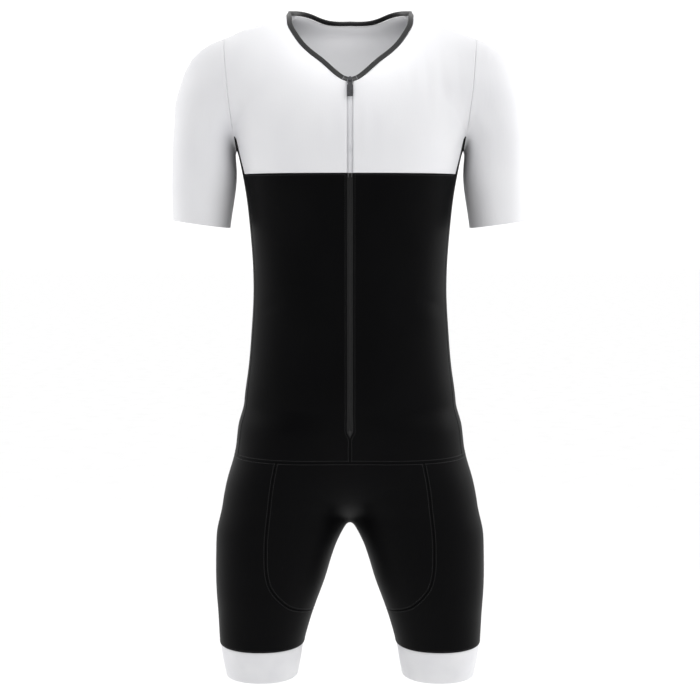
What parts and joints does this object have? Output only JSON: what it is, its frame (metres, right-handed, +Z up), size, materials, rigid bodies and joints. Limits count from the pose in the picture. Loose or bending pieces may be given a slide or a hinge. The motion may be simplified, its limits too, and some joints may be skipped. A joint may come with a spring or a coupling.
{
  "type": "triathlon suit",
  "caption": "Short-sleeved one-piece triathlon suit in its worn, hollow form, with a front zip, colour-blocked yoke and elastic leg bands.",
  "frame": {"origin": "the mount worn_on_shoulders, on the centre plane, level with the sides of the neck opening and midway through the depth of the arms", "axes": "+Z up along the wearer's height, +X to the wearer's left, -Y out of the front; the zip lies in the plane x = 0"},
  "size_m": [0.5096, 0.2345, 0.965],
  "materials": {
    "knit_white": "smooth stretch knit, fine matte with a slight sheen",
    "sleeve_white": "smooth stretch knit with raw-cut hem",
    "knit_black": "smooth stretch knit, dense black with a slight sheen",
    "gripper_white": "woven elastic band, matte",
    "binding_grey": "folded satin elastic binding",
    "tape_black": "woven zip tape",
    "coil_grey": "nylon coil",
    "slider_metal": "dark lacquered zinc casting"
  },
  "bodies": {
    "suit": {"front_yoke_left": "knit_white", "front_yoke_right": "knit_white", "back_yoke": "knit_white", "sleeve_left": "sleeve_white", "sleeve_right": "sleeve_white", "front_body_left": "knit_black", "front_body_right": "knit_black", "side_panel_left": "knit_black", "side_panel_right": "knit_black", "back_body": "knit_black", "front_rise": "knit_black", "back_rise": "knit_black", "leg_left": "knit_black", "leg_right": "knit_black", "leg_gripper_left": "gripper_white", "leg_gripper_right": "gripper_white", "neck_binding": "binding_grey", "zip_tape_left": "tape_black", "zip_tape_right": "tape_black", "zip_chain": "coil_grey", "zip_slider": "slider_metal"},
    "pull_tab": {"pull_tab": "slider_metal"}
  },
  "joints": [
    {"name": "pull_tab_swing", "type": "hinge", "parent": "suit", "child": "pull_tab", "pos_m": [0, -0.09635, -0.09927], "axis": [-1, 0, 0], "range_deg": [0, 150]}
  ]
}
